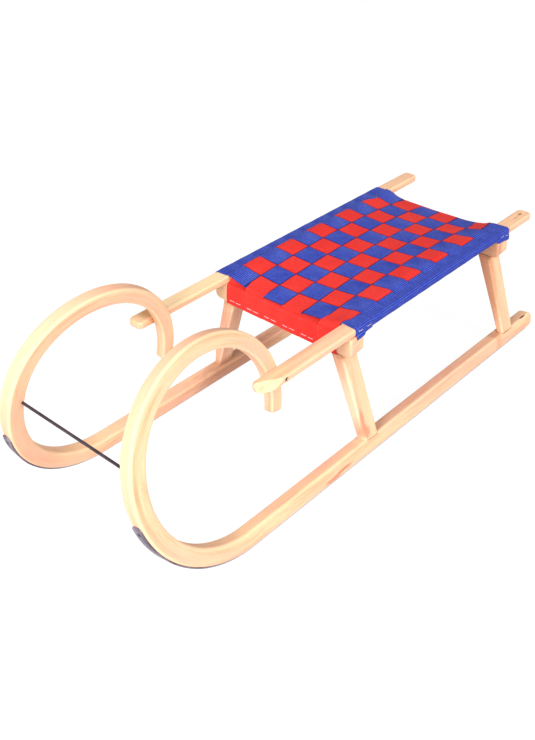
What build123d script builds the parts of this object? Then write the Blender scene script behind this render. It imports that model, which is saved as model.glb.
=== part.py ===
"""Horn sled: two bent runners that curl into horns, two trestles, two seat rails and a woven seat.

Millimetres. +X points forwards to the horns, +Y to the sled's left, +Z up.
The origin is on the ground, under the middle of the sled's length and width.
"""

import os
from math import cos, pi, radians, sin, sqrt, tan

from build123d import *

# ---- overall sizes ----
SLED_LENGTH = 1100.0  # tail of the runners to the front of the horns
RUNNER_STANCE = 391.8  # between the runners' outer faces, at their bottom edge
CANT = 10.6  # lean of each runner and horn towards the middle, degrees

# ---- runners and horns ----
RUNNER_WIDTH = 26.0
RUNNER_HEIGHT = 31.5
RUNNER_ROUNDING = 5.0  # radius that the facets along the edges follow
TAIL_RADIUS = 12.0
HORN_ARCS = ((206.0, 109.0), (166.0, 82.0), (177.0, 88.0))  # outer radius, turn in degrees, from the toe
HORN_TIP_WIDTH = 20.0
HORN_TIP_HEIGHT = 25.0
HORN_TIP_ROUNDING = 4.5
HORN_TIP_EASE = 2.0  # chamfer round the horn's end face
CURL_START = 80.0  # the horn tapers and bends inwards from this turn onwards, degrees
CURL_INSET = 29.5  # how far the tip's outer face ends inside the runner's plane
LOFT_SPANS = 20  # equal turns between the sections that the curl is lofted through

# ---- steel shoes and tie rod ----
SHOE_WIDTH = 20.0
SHOE_THICKNESS = 2.5
SHOE_TURN = 79.0  # how far the shoe follows the front bend, degrees
SHOE_TAIL_GAP = 14.0  # bare wood behind the shoe
SHOE_END_RADIUS = 7.0  # corners of the strip's two ends
ROD_DIAMETER = 5.0
ROD_TURN = 99.5  # place of the rod along the horn, degrees
ROD_INSET = 6.0  # from the horn's inner rim to the rod's centre
ROD_SEAT = 10.0  # depth of the rod's hole in each horn

# ---- seat rails ----
RAIL_LENGTH = 832.0
RAIL_FRONT = 292.0
RAIL_WIDTH = 31.0
RAIL_THICKNESS = 14.5
RAIL_SPREAD = 314.0  # between the rails' outer faces
RAIL_TOP = 262.0
RAIL_NOSE_RADIUS = 13.0
RAIL_CHAMFER = 2.8

# ---- trestles ----
RAKE = 5.0  # forward lean of both trestles, degrees
FRONT_TRESTLE_X = 43.7  # front face of the front trestle, at the ground
TRESTLE_PITCH = 476.0
YOKE_LENGTH = 338.0
YOKE_DEPTH = 22.0
YOKE_HEIGHT = 41.0
YOKE_CORNER_RADIUS = 18.0
YOKE_CHAMFER = 2.5
LEG_DEPTH = 38.0
LEG_THICKNESS = 26.0
LEG_CHAMFER = 2.5
LEG_HEAD_INSET = 29.3  # from the rail's outer face in to the leg's outer face, at the rail
LEG_CHEEK = 22.0  # height of the leg's cheek behind the yoke
WEDGE_HEIGHT = 60.0  # long chamfer that thins a front leg's outer edge towards its foot
WEDGE_WIDTH = 8.5  # what that chamfer takes off each face, at the foot
TENON_DEPTH = 28.0
TENON_WIDTH = 11.0
TENON_LENGTH = 16.0

# ---- woven seat ----
LONG_COUNT = 6
CROSS_COUNT = 11
LONG_GAP = 4.0
CROSS_PITCH = 44.9
CROSS_GAP = 4.2
CROSSING_EASE = 0.9  # a strap stays level this far past the edge of the strap it crosses
SEAT_FRONT = 50.3  # front edge of the first cross strap
SEAT_ARCH = 10.5  # rise of the seat's middle above its ends, which are pulled down to the yokes
SEAT_DISH = 3.0  # further rise of the outermost long straps, beside the rails
STRAP_THICKNESS = 2.0
STRAP_CLEARANCE = 0.3
WRAP_UNDER = 16.0  # how far a cross strap turns under the rail
BACK_DROP = 18.0  # how far the long straps fold down behind the rear yoke
END_HANG = 5.0  # how far the first and last cross straps hang below the rail, beside the yoke

# ---- fastenings ----
SCREW_HEAD_RADIUS = 4.2
SCREW_HEAD_HEIGHT = 3.0
SCREW_SHANK_RADIUS = 2.5
SCREW_SINK = 1.5  # the head lies this far below the rail's face
SCREW_LENGTH = 42.0
FIT = 0.2  # clearance of a screw, rod or tenon in its hole, on each side

# ---- derived places ----
TOE_X = SLED_LENGTH / 2 - HORN_ARCS[0][0]
TAIL_X = -SLED_LENGTH / 2
RUNNER_Y = RUNNER_STANCE / 2
SHOE_INSET = (RUNNER_WIDTH - SHOE_WIDTH) / 2
RUNNER_Z = SHOE_THICKNESS * cos(radians(CANT)) + (SHOE_INSET + SHOE_WIDTH) * sin(radians(CANT))
HORN_END = sum(turn for _, turn in HORN_ARCS)
RAIL_OUTER = RAIL_SPREAD / 2
RAIL_INNER = RAIL_OUTER - RAIL_WIDTH
RAIL_BOTTOM = RAIL_TOP - RAIL_THICKNESS
YOKE_BOTTOM = RAIL_BOTTOM - YOKE_HEIGHT
WEAVE = STRAP_THICKNESS / 2 + STRAP_CLEARANCE / 2  # a strap's centre above or below the seat's middle
SEAT_Z = RAIL_BOTTOM + STRAP_CLEARANCE + STRAP_THICKNESS / 2 + WEAVE
LONG_PITCH = 2 * (RAIL_INNER - 2 * STRAP_CLEARANCE - STRAP_THICKNESS) / LONG_COUNT
LONG_WIDTH = LONG_PITCH - LONG_GAP
CROSS_WIDTH = CROSS_PITCH - CROSS_GAP

ACROSS = Vector(0, -cos(radians(CANT)), -sin(radians(CANT)))  # through the left runner, outer face to inner
UP = Vector(0, -sin(radians(CANT)), cos(radians(CANT)))  # up the left runner's plane
RUNNER_PLANE = Plane(origin=(0, RUNNER_Y, RUNNER_Z), x_dir=(1, 0, 0), z_dir=ACROSS)

os.makedirs("parts", exist_ok=True)


def save(builder, name):
    """Label a finished piece and write it to its own file."""
    builder.part.label = name
    export_step(builder.part, f"parts/{name}.step")


def in_runner(x, v, w):
    """Point of the left runner: x forwards, v up its plane, w inwards from its outer face."""
    return Vector(x, RUNNER_Y, RUNNER_Z) + UP * v + ACROSS * w


def rim(turn):
    """Outer rim of the horn after a turn in degrees, as x and v in the runner's plane."""
    x, v, start = TOE_X, 0.0, 0.0
    for radius, sweep_turn in HORN_ARCS:
        end = min(turn, start + sweep_turn)
        x += radius * (sin(radians(end)) - sin(radians(start)))
        v += radius * (cos(radians(start)) - cos(radians(end)))
        start += sweep_turn
        if turn <= start:
            break
    return x, v


def horn_size(turn):
    """Width, height, rounding and inward bend of the horn after a turn in degrees."""
    share = max(0.0, (turn - CURL_START) / (HORN_END - CURL_START))
    width = RUNNER_WIDTH + (HORN_TIP_WIDTH - RUNNER_WIDTH) * share
    height = RUNNER_HEIGHT + (HORN_TIP_HEIGHT - RUNNER_HEIGHT) * share
    rounding = RUNNER_ROUNDING + (HORN_TIP_ROUNDING - RUNNER_ROUNDING) * share
    return width, height, rounding, CURL_INSET * share**2


def horn_centre(turn):
    """Middle of the horn's section after a turn in degrees."""
    x, v = rim(turn)
    width, height, _, inset = horn_size(turn)
    x -= sin(radians(turn)) * height / 2
    v += cos(radians(turn)) * height / 2
    return in_runner(x, v, width / 2) - Vector(0, inset, 0)


def horn_section(turn):
    """Section of the horn, square to its rim, with each edge rounded in three facets."""
    width, height, rounding, _ = horn_size(turn)
    tangent = Vector(cos(radians(turn)), 0, 0) + UP * sin(radians(turn))
    with BuildSketch(Plane(origin=horn_centre(turn), x_dir=ACROSS, z_dir=tangent)) as section:
        Rectangle(width, height)
        for facet in (2 - sqrt(2), tan(pi / 8) - tan(pi / 16)):
            chamfer(section.vertices(), facet * rounding)
    return section.sketch


def trestle_plane(x_ground):
    """Front face of a trestle: sketch x is +Y, sketch y runs up the raked trestle, normal forwards."""
    lean = radians(RAKE)
    return Plane(origin=(x_ground, 0, 0), x_dir=(0, 1, 0), z_dir=(cos(lean), 0, -sin(lean)))


def up_trestle(z):
    """Distance up a trestle's plane at a height above the ground."""
    return z / cos(radians(RAKE))


def front_of_trestle(x_ground, z):
    """x of a trestle's front face at a height above the ground."""
    return x_ground + z * sin(radians(RAKE)) / cos(radians(RAKE))


# ---- where the legs stand ----
TRESTLES = {"front": FRONT_TRESTLE_X, "rear": FRONT_TRESTLE_X - TRESTLE_PITCH}
FOOT_OUTER = in_runner(0, RUNNER_HEIGHT, 0)  # top outer edge of the runner
HEAD_Y = RAIL_OUTER - LEG_HEAD_INSET


def tenon_plane(x_ground):
    """Top face of the left runner, under the middle of a leg's foot."""
    x = front_of_trestle(x_ground, FOOT_OUTER.Z) - LEG_DEPTH / 2
    return Plane(origin=in_runner(x, RUNNER_HEIGHT, RUNNER_WIDTH / 2), x_dir=(1, 0, 0), z_dir=UP)


# ---- the screw through each rail into its horn ----
TURN_STEP = 0.5  # degrees


def horn_at_height(z):
    """Turn in degrees at which the horn comes back down to a height."""
    turn = 180.0
    while turn < HORN_END and horn_centre(turn).Z > z:
        turn += TURN_STEP
    return turn


SCREW_Z = RAIL_TOP - RAIL_THICKNESS / 2
SCREW_TURN = horn_at_height(SCREW_Z)
SCREW_X = horn_centre(SCREW_TURN).X
SCREW_PLANE = Plane(origin=(SCREW_X, RAIL_OUTER, SCREW_Z), x_dir=(1, 0, 0), z_dir=(0, 1, 0))


# ---- left runner with its horn ----
ROD_X, ROD_V = rim(ROD_TURN)
ROD_DEPTH = horn_size(ROD_TURN)[1] - ROD_INSET  # from the outer rim to the rod's centre
ROD_CENTRE = in_runner(
    ROD_X - ROD_DEPTH * sin(radians(ROD_TURN)), ROD_V + ROD_DEPTH * cos(radians(ROD_TURN)), RUNNER_WIDTH
)
ROD_HALF = ROD_CENTRE.Y + ROD_SEAT  # half the rod's length
ROD_PLANE = Plane(origin=(ROD_CENTRE.X, 0, ROD_CENTRE.Z), x_dir=(1, 0, 0), z_dir=(0, 1, 0))

with BuildPart() as runner_left:
    extrude(horn_section(0), amount=-(TOE_X - TAIL_X))
    with BuildSketch(RUNNER_PLANE) as side:
        with Locations(((TAIL_X + TOE_X) / 2, RUNNER_HEIGHT / 2)):
            Rectangle(TOE_X - TAIL_X, RUNNER_HEIGHT)
        fillet(side.vertices().group_by(Axis.X)[0], TAIL_RADIUS)
    extrude(amount=RUNNER_WIDTH, mode=Mode.INTERSECT)
    bend = Axis(in_runner(TOE_X, HORN_ARCS[0][0], 0), ACROSS)
    revolve(horn_section(0), axis=bend, revolution_arc=CURL_START)
    spans = [(HORN_END - CURL_START) * span / LOFT_SPANS for span in range(LOFT_SPANS + 1)]
    loft([horn_section(CURL_START + span) for span in spans])
    tip = runner_left.faces().sort_by_distance(horn_centre(HORN_END))[0]
    chamfer(tip.edges(), HORN_TIP_EASE)

    # flat seat for the rail's inner face
    with BuildSketch(Plane.XY.offset(RAIL_BOTTOM - 2 * FIT)):
        with Locations((SCREW_X, RAIL_INNER - FIT + RUNNER_WIDTH / 2)):
            Rectangle(2 * RUNNER_HEIGHT, RUNNER_WIDTH)
    extrude(amount=RAIL_THICKNESS + 4 * FIT, mode=Mode.SUBTRACT)

    # mortises for the legs, holes for the rod and the screw
    for x_ground in TRESTLES.values():
        with BuildSketch(tenon_plane(x_ground)):
            Rectangle(TENON_DEPTH + 2 * FIT, TENON_WIDTH + 2 * FIT)
        extrude(amount=-(TENON_LENGTH + FIT), mode=Mode.SUBTRACT)
    with BuildSketch(ROD_PLANE):
        Circle(ROD_DIAMETER / 2 + FIT)
    extrude(amount=ROD_HALF + FIT, mode=Mode.SUBTRACT)
    with BuildSketch(SCREW_PLANE):
        Circle(SCREW_SHANK_RADIUS + FIT)
    extrude(amount=-(SCREW_SINK + SCREW_LENGTH + FIT), mode=Mode.SUBTRACT)
save(runner_left, "runner_left")

# ---- left shoe ----
with BuildPart() as shoe_left:
    with BuildSketch(RUNNER_PLANE.offset(SHOE_INSET)):
        with BuildLine():
            bend = (TOE_X, HORN_ARCS[0][0])
            upper = CenterArc(bend, HORN_ARCS[0][0] + FIT, -90, SHOE_TURN)
            lower = CenterArc(bend, HORN_ARCS[0][0] + SHOE_THICKNESS, -90, SHOE_TURN)
            top = Line((TAIL_X + SHOE_TAIL_GAP, -FIT), upper @ 0)
            bottom = Line((TAIL_X + SHOE_TAIL_GAP, -SHOE_THICKNESS), lower @ 0)
            Line(upper @ 1, lower @ 1)
            Line(top @ 0, bottom @ 0)
        make_face()
    extrude(amount=SHOE_WIDTH)
    end_corners = shoe_left.edges().sort_by(SortBy.LENGTH)[:4]
    fillet(end_corners, SHOE_END_RADIUS)
save(shoe_left, "shoe_left")

# ---- tie rod ----
with BuildPart() as tie_rod:
    with BuildSketch(ROD_PLANE):
        Circle(ROD_DIAMETER / 2)
    extrude(amount=ROD_HALF, both=True)
save(tie_rod, "tie_rod")

# ---- left rail ----
with BuildPart() as rail_left:
    with BuildSketch(Plane.XY.offset(RAIL_BOTTOM)):
        with Locations((RAIL_FRONT - RAIL_LENGTH / 2, RAIL_OUTER - RAIL_WIDTH / 2)):
            RectangleRounded(RAIL_LENGTH, RAIL_WIDTH, RAIL_NOSE_RADIUS)
    extrude(amount=RAIL_THICKNESS)
    flats = rail_left.faces().sort_by(Axis.Z)
    chamfer(flats[0].edges() + flats[-1].edges(), RAIL_CHAMFER)
    with BuildSketch(SCREW_PLANE):
        Circle(SCREW_SHANK_RADIUS + FIT)
    extrude(amount=-RAIL_WIDTH, mode=Mode.SUBTRACT)
    with BuildSketch(SCREW_PLANE):
        Circle(SCREW_HEAD_RADIUS + FIT)
    extrude(amount=-(SCREW_SINK + SCREW_HEAD_HEIGHT), mode=Mode.SUBTRACT)
save(rail_left, "rail_left")

# ---- horn screws, left and right ----
with BuildPart() as horn_screws:
    for side_sign in (1, -1):
        face = Plane(
            origin=(SCREW_X, side_sign * (RAIL_OUTER - SCREW_SINK), SCREW_Z),
            x_dir=(1, 0, 0),
            z_dir=(0, side_sign, 0),
        )
        with BuildSketch(face):
            Circle(SCREW_SHANK_RADIUS)
        extrude(amount=-SCREW_LENGTH)
        with BuildSketch(face):
            Circle(SCREW_HEAD_RADIUS)
        extrude(amount=-SCREW_HEAD_HEIGHT)
save(horn_screws, "horn_screws")


# ---- trestles ----
def build_yoke(x_ground):
    """Crossbar under both rails, with rounded lower corners and a level top."""
    low, high = up_trestle(YOKE_BOTTOM), up_trestle(RAIL_BOTTOM) + LEG_DEPTH
    with BuildPart() as yoke:
        with BuildSketch(trestle_plane(x_ground)) as outline:
            with Locations((0, (low + high) / 2)):
                Rectangle(YOKE_LENGTH, high - low)
            fillet(outline.vertices().group_by(Axis.Y)[0], YOKE_CORNER_RADIUS)
        extrude(amount=-YOKE_DEPTH)
        faces = yoke.faces().sort_by(Axis.X)
        chamfer(faces[0].edges() + faces[-1].edges(), YOKE_CHAMFER)
        split(bisect_by=Plane.XY.offset(RAIL_BOTTOM), keep=Keep.BOTTOM)
    return yoke


def wedge_plane(x_ground):
    """Plane of the long chamfer on a leg's outer front edge, with its normal out of the leg."""
    front = trestle_plane(x_ground)
    foot, head = up_trestle(FOOT_OUTER.Z), up_trestle(RAIL_BOTTOM)
    lean = (FOOT_OUTER.Y - HEAD_Y) / (head - foot) * WEDGE_HEIGHT
    point = front.from_local_coords((FOOT_OUTER.Y - lean, foot + WEDGE_HEIGHT, 0))
    on_front = front.from_local_coords((FOOT_OUTER.Y - WEDGE_WIDTH, foot, 0))
    on_side = front.from_local_coords((FOOT_OUTER.Y, foot, -WEDGE_WIDTH))
    return Plane(origin=point, z_dir=(on_front - point).cross(on_side - point))


def build_left_leg(x_ground):
    """Splayed leg: foot with a tenon on the runner, head housed behind and under the yoke."""
    foot, head = up_trestle(FOOT_OUTER.Z), up_trestle(RAIL_BOTTOM)
    slope = (FOOT_OUTER.Y - HEAD_Y) / (head - foot)
    low, high = foot - LEG_THICKNESS, head + LEG_DEPTH
    with BuildPart() as leg:
        with BuildSketch(trestle_plane(x_ground)):
            with BuildLine():
                outer_low = (FOOT_OUTER.Y + slope * (foot - low), low)
                outer_high = (FOOT_OUTER.Y - slope * (high - foot), high)
                inner_high = (outer_high[0] - LEG_THICKNESS, high)
                inner_low = (outer_low[0] - LEG_THICKNESS, low)
                Polyline(outer_low, outer_high, inner_high, inner_low, close=True)
            make_face()
        extrude(amount=-LEG_DEPTH)
        long_edges = leg.edges().sort_by(SortBy.LENGTH)[-4:]
        chamfer(long_edges, LEG_CHAMFER)
        split(bisect_by=Plane(origin=in_runner(0, RUNNER_HEIGHT, 0), z_dir=UP), keep=Keep.TOP)
        if x_ground == FRONT_TRESTLE_X:
            split(bisect_by=wedge_plane(x_ground), keep=Keep.BOTTOM)
        # the yoke's housing, and the cheek behind it
        with BuildSketch(trestle_plane(x_ground)):
            with Locations((HEAD_Y, up_trestle(YOKE_BOTTOM) + LEG_DEPTH)):
                Rectangle(2 * LEG_DEPTH, 2 * LEG_DEPTH)
        extrude(amount=-YOKE_DEPTH, mode=Mode.SUBTRACT)
        cheek_top = YOKE_BOTTOM + LEG_CHEEK
        split(bisect_by=Plane.XY.offset(cheek_top), keep=Keep.BOTTOM)
        with BuildSketch(tenon_plane(x_ground)):
            Rectangle(TENON_DEPTH, TENON_WIDTH)
        extrude(amount=-TENON_LENGTH)
    return leg


yokes = {}
left_legs = {}
for place, x_ground in TRESTLES.items():
    yokes[place] = build_yoke(x_ground)
    save(yokes[place], f"yoke_{place}")
    left_legs[place] = build_left_leg(x_ground)
    save(left_legs[place], f"leg_{place}_left")

# ---- right-hand pieces, mirrored ----
left_pieces = {
    "runner_right": runner_left,
    "shoe_right": shoe_left,
    "rail_right": rail_left,
    "leg_front_right": left_legs["front"],
    "leg_rear_right": left_legs["rear"],
}
for name, left in left_pieces.items():
    with BuildPart() as right:
        mirror(left.part, about=Plane.XZ)
    save(right, name)


# ---- woven seat ----
LAY = STRAP_CLEARANCE + STRAP_THICKNESS / 2  # from a wooden face to the middle of a strap on it
FOLD_LEG = RAIL_CHAMFER + (2 - sqrt(2)) * LAY  # size of a strap's fold round a rail's chamfer
LONG_Y = [LONG_PITCH * (index - (LONG_COUNT - 1) / 2) for index in range(LONG_COUNT)]
CROSS_X = [SEAT_FRONT - CROSS_WIDTH / 2 - CROSS_PITCH * index for index in range(CROSS_COUNT)]


def weave_level(long_index, cross_index, side):
    """Height of a strap's middle at a crossing: side is 1 for a cross strap and -1 for a long one."""
    across = LONG_Y[long_index] / LONG_Y[-1]
    along = 2 * cross_index / (CROSS_COUNT - 1) - 1
    middle = SEAT_Z + (SEAT_ARCH + SEAT_DISH * across**2) * (1 - along**2)
    cross_on_top = (long_index + cross_index) % 2 == 0
    return middle + side * (WEAVE if cross_on_top else -WEAVE)


def level_runs(levels, centres, width):
    """Middle line of a strap through the weave: level on each crossing, sloped in the gaps."""
    points = []
    for level, centre in zip(levels, centres):
        reach = (width / 2 + CROSSING_EASE) * (1 if centres[-1] > centres[0] else -1)
        points += [(centre - reach, level), (centre + reach, level)]
    return points


def strap_outline(points):
    """Closed outline of a strap of constant thickness along its middle line, with mitred corners."""
    ways = [(Vector(*after) - Vector(*before)).normalized() for before, after in zip(points, points[1:])]
    mitres = []
    for way_in, way_out in zip([ways[0]] + ways, ways + [ways[-1]]):
        normals = Vector(-way_in.Y, way_in.X), Vector(-way_out.Y, way_out.X)
        mitres.append((normals[0] + normals[1]) / (1 + way_in.dot(way_out)) * STRAP_THICKNESS / 2)
    left = [Vector(*point) + mitre for point, mitre in zip(points, mitres)]
    right = [Vector(*point) - mitre for point, mitre in zip(points, mitres)]
    return left + right[::-1]


def rail_wrap(level, is_end_strap):
    """Middle line of a cross strap from the weave's edge over the left rail and down its side."""
    inner, outer, top = RAIL_INNER - LAY, RAIL_OUTER + LAY, RAIL_TOP + LAY
    points = [(inner, level), (inner, top - FOLD_LEG)] if level < top - FOLD_LEG else []
    points += [(inner + FOLD_LEG, top), (outer - FOLD_LEG, top), (outer, top - FOLD_LEG)]
    if is_end_strap:  # beside the yoke, which leaves no way under the rail
        return points + [(outer, RAIL_BOTTOM - END_HANG)]
    under = RAIL_BOTTOM - LAY
    return points + [(outer, under + FOLD_LEG), (outer - FOLD_LEG, under), (RAIL_OUTER - WRAP_UNDER, under)]


for cross_index, x_centre in enumerate(CROSS_X):
    levels = [weave_level(long_index, cross_index, 1) for long_index in range(LONG_COUNT)]
    is_end_strap = cross_index in (0, CROSS_COUNT - 1)
    right_side = [(-y, z) for y, z in reversed(rail_wrap(levels[0], is_end_strap))]
    points = right_side + level_runs(levels, LONG_Y, LONG_WIDTH) + rail_wrap(levels[-1], is_end_strap)
    with BuildPart() as strap:
        with BuildSketch(Plane(origin=(x_centre, 0, 0), x_dir=(0, 1, 0), z_dir=(1, 0, 0))):
            with BuildLine():
                Polyline(*strap_outline(points), close=True)
            make_face()
        extrude(amount=CROSS_WIDTH / 2, both=True)
        if is_end_strap:  # cut away round the yoke's ends
            x_ground = TRESTLES["front" if cross_index == 0 else "rear"]
            yoke_x = front_of_trestle(x_ground, RAIL_BOTTOM) - YOKE_DEPTH / 2
            with BuildSketch(Plane.XY.offset(RAIL_BOTTOM + STRAP_CLEARANCE)):
                with Locations((yoke_x, 0)):
                    Rectangle(YOKE_DEPTH + 2 * (STRAP_CLEARANCE + END_HANG * tan(radians(RAKE))), YOKE_LENGTH)
            extrude(amount=-YOKE_HEIGHT, mode=Mode.SUBTRACT)
    save(strap, f"strap_cross_{cross_index + 1}")

rear_face = front_of_trestle(TRESTLES["rear"], RAIL_BOTTOM) - YOKE_DEPTH
BACK_X = min(rear_face, CROSS_X[-1] - CROSS_WIDTH / 2) - LAY
for long_index, y_centre in enumerate(LONG_Y):
    levels = [weave_level(long_index, cross_index, -1) for cross_index in range(CROSS_COUNT)]
    runs = level_runs(levels, CROSS_X, CROSS_WIDTH)
    front_top = (front_of_trestle(TRESTLES["front"], levels[0]) + LAY, levels[0])
    front_end = (front_of_trestle(TRESTLES["front"], YOKE_BOTTOM) + LAY, YOKE_BOTTOM)
    points = [front_end, front_top] + runs[1:-1] + [(BACK_X, levels[-1]), (BACK_X, SEAT_Z - BACK_DROP)]
    with BuildPart() as strap:
        with BuildSketch(Plane(origin=(0, y_centre, 0), x_dir=(1, 0, 0), z_dir=(0, -1, 0))):
            with BuildLine():
                Polyline(*strap_outline(points), close=True)
            make_face()
        extrude(amount=LONG_WIDTH / 2, both=True)
    save(strap, f"strap_long_{long_index + 1}")
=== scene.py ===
"""Looks of the horn sled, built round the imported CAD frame.

Shapes are worked out in millimetres, in the CAD's own axes, and turned into metres when a mesh
is made.
"""

from math import copysign, cos, degrees, hypot, pi, radians, sin, sqrt, tan

import bmesh
import bpy
import numpy as np
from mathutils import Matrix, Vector, noise


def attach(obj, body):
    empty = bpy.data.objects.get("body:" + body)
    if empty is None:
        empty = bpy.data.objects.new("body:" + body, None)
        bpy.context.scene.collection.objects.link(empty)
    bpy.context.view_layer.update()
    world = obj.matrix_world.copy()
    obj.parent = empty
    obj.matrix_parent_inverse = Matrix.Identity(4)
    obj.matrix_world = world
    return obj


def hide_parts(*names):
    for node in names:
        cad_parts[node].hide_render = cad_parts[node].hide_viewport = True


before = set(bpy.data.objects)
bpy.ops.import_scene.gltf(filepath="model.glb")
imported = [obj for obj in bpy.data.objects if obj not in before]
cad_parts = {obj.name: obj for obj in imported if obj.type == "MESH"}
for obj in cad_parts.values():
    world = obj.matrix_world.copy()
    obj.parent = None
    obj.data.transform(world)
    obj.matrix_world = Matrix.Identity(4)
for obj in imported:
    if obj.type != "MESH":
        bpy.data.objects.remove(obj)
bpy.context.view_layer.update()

# ---- sizes of the sled, mm ----
MM = 0.001
CANT = radians(10.6)
RUNNER_Y = 195.9
RUNNER_W, RUNNER_H, RUNNER_R = 26.0, 31.5, 5.0
TIP_W, TIP_H, TIP_R = 20.0, 25.0, 4.5
TAIL_X, TOE_X, TAIL_R = -550.0, 344.0, 12.0
HORN_ARCS = ((206.0, 109.0), (166.0, 82.0), (177.0, 91.0))
HORN_END = 282.0
CURL_START, CURL_INSET = 80.0, 29.5
SHOE_W, SHOE_T, SHOE_TURN, SHOE_GAP = 20.0, 2.5, 79.0, 14.0
RUNNER_Z = SHOE_T * cos(CANT) + ((RUNNER_W + SHOE_W) / 2) * sin(CANT)
ROD_R, ROD_TURN, ROD_INSET = 2.5, 99.5, 6.0
RAIL_L, RAIL_FRONT, RAIL_W, RAIL_T, RAIL_OUTER, RAIL_TOP = 822.0, 278.5, 31.0, 14.5, 157.0, 262.0
RAIL_BOTTOM = RAIL_TOP - RAIL_T
RAIL_END, RAIL_R = 10.0, 4.8
BEVEL_LOW, BEVEL_HIGH = (24.0, 13.5), (48.0, 27.0)
RAKE = radians(5.0)
TRESTLES = {"front": 43.7, "rear": -432.3}
YOKE_HALF, YOKE_D, YOKE_BOTTOM, YOKE_CORNER, YOKE_R = 160.0, 36.0, 206.5, 12.0, 4.0
LEG_D, LEG_T, LEG_R, LEG_HEAD_Y = 38.0, 26.0, 4.2, 127.7
LEG_FOOT_T = {"front": 18.8, "rear": 15.0}
WEDGE_H, WEDGE_W = 60.0, 8.5
SCREW_Z, SCREW_R, SCREW_SINK = 254.75, 4.2, 1.5
CLEAR = 0.2  # gap between wood or steel and what lies on it

X, Y, Z = Vector((1, 0, 0)), Vector((0, 1, 0)), Vector((0, 0, 1))
ACROSS = Vector((0, -cos(CANT), -sin(CANT)))
UP = Vector((0, -sin(CANT), cos(CANT)))


def smooth(value, start, end):
    """0 before start, 1 after end, and an even rise between them."""
    t = min(1.0, max(0.0, (value - start) / (end - start)))
    return t * t * (3 - 2 * t)


def eased(half, radius, inside):
    """Half size of a section that lies inside from an end whose edge has that radius."""
    if inside >= radius:
        return half
    return half - radius + sqrt(max(0.0, radius**2 - (radius - inside) ** 2))


# ---- node materials ----
def linear(red, green, blue):
    """Linear colour of a screen colour from 0 to 255."""
    parts = [c / 255 for c in (red, green, blue)]
    return [c / 12.92 if c <= 0.04045 else ((c + 0.055) / 1.055) ** 2.4 for c in parts] + [1.0]


class Nodes:
    """The emptied node tree of a material or world."""

    def __init__(self, owner):
        owner.use_nodes = True
        self.tree = owner.node_tree
        self.tree.nodes.clear()

    def add(self, kind, inputs=None, **settings):
        """A node of a kind without its ShaderNode, its settings, and its inputs by name."""
        node = self.tree.nodes.new(f"ShaderNode{kind}")
        for key, value in settings.items():
            setattr(node, key, value)
        for key, value in (inputs or {}).items():
            self.feed(node.inputs[key], value)
        return node

    def feed(self, socket, value):
        """Links a socket to an input, or sets the input's value."""
        if isinstance(value, bpy.types.NodeSocket):
            self.tree.links.new(value, socket)
        else:
            socket.default_value = value


class Material(Nodes):
    """A node material with a principled shader, and short ways to add nodes."""

    def __init__(self, name):
        self.material = bpy.data.materials.new(name)
        super().__init__(self.material)
        self.shader = self.add("BsdfPrincipled")
        self.add("OutputMaterial", {"Surface": self.shader.outputs[0]})

    def set(self, **inputs):
        """Inputs of the shader, with _ for a space."""
        for key, value in inputs.items():
            self.feed(self.shader.inputs[key.replace("_", " ")], value)

    def maths(self, operation, a, b=0.5):
        """MULTIPLY_ADD multiplies by b and adds a half."""
        return self.add("Math", {0: a, 1: b}, operation=operation).outputs[0]

    def times(self, a, b):
        return self.maths("MULTIPLY", a, b)

    def vector(self, operation, a, b):
        key = "Value" if operation == "DISTANCE" else "Vector"
        return self.add("VectorMath", {0: a, 1: b}, operation=operation).outputs[key]

    def noise(self, where, scale, detail=3.0, roughness=0.55):
        """Noise at a place stretched by scale, a number for each axis."""
        place = self.vector("MULTIPLY", where, scale)
        inputs = {"Vector": place, "Scale": 1.0, "Detail": detail, "Roughness": roughness}
        return self.add("TexNoise", inputs).outputs["Fac"]

    def ramp(self, value, low, high):
        """0 at low, 1 at high."""
        limits = {"Value": value, "From Min": low, "From Max": high}
        return self.add("MapRange", limits, clamp=True).outputs["Result"]

    def spread(self, value, low, high):
        """low where the value is 0, high where it is 1."""
        limits = {"Value": value, "To Min": low, "To Max": high}
        return self.add("MapRange", limits).outputs["Result"]

    def mix(self, share, a, b):
        """Colour a where the share is 0, b where it is 1."""
        node = self.add("Mix", {0: share, 6: a, 7: b}, data_type="RGBA", clamp_factor=True)
        return node.outputs[2]

    def bump(self, height, distance, strength):
        inputs = {"Height": height, "Distance": distance, "Strength": strength}
        return self.add("Bump", inputs).outputs["Normal"]

    def attribute(self, name, key="Vector"):
        return self.add("Attribute", attribute_name=name, attribute_type="GEOMETRY").outputs[key]


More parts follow.
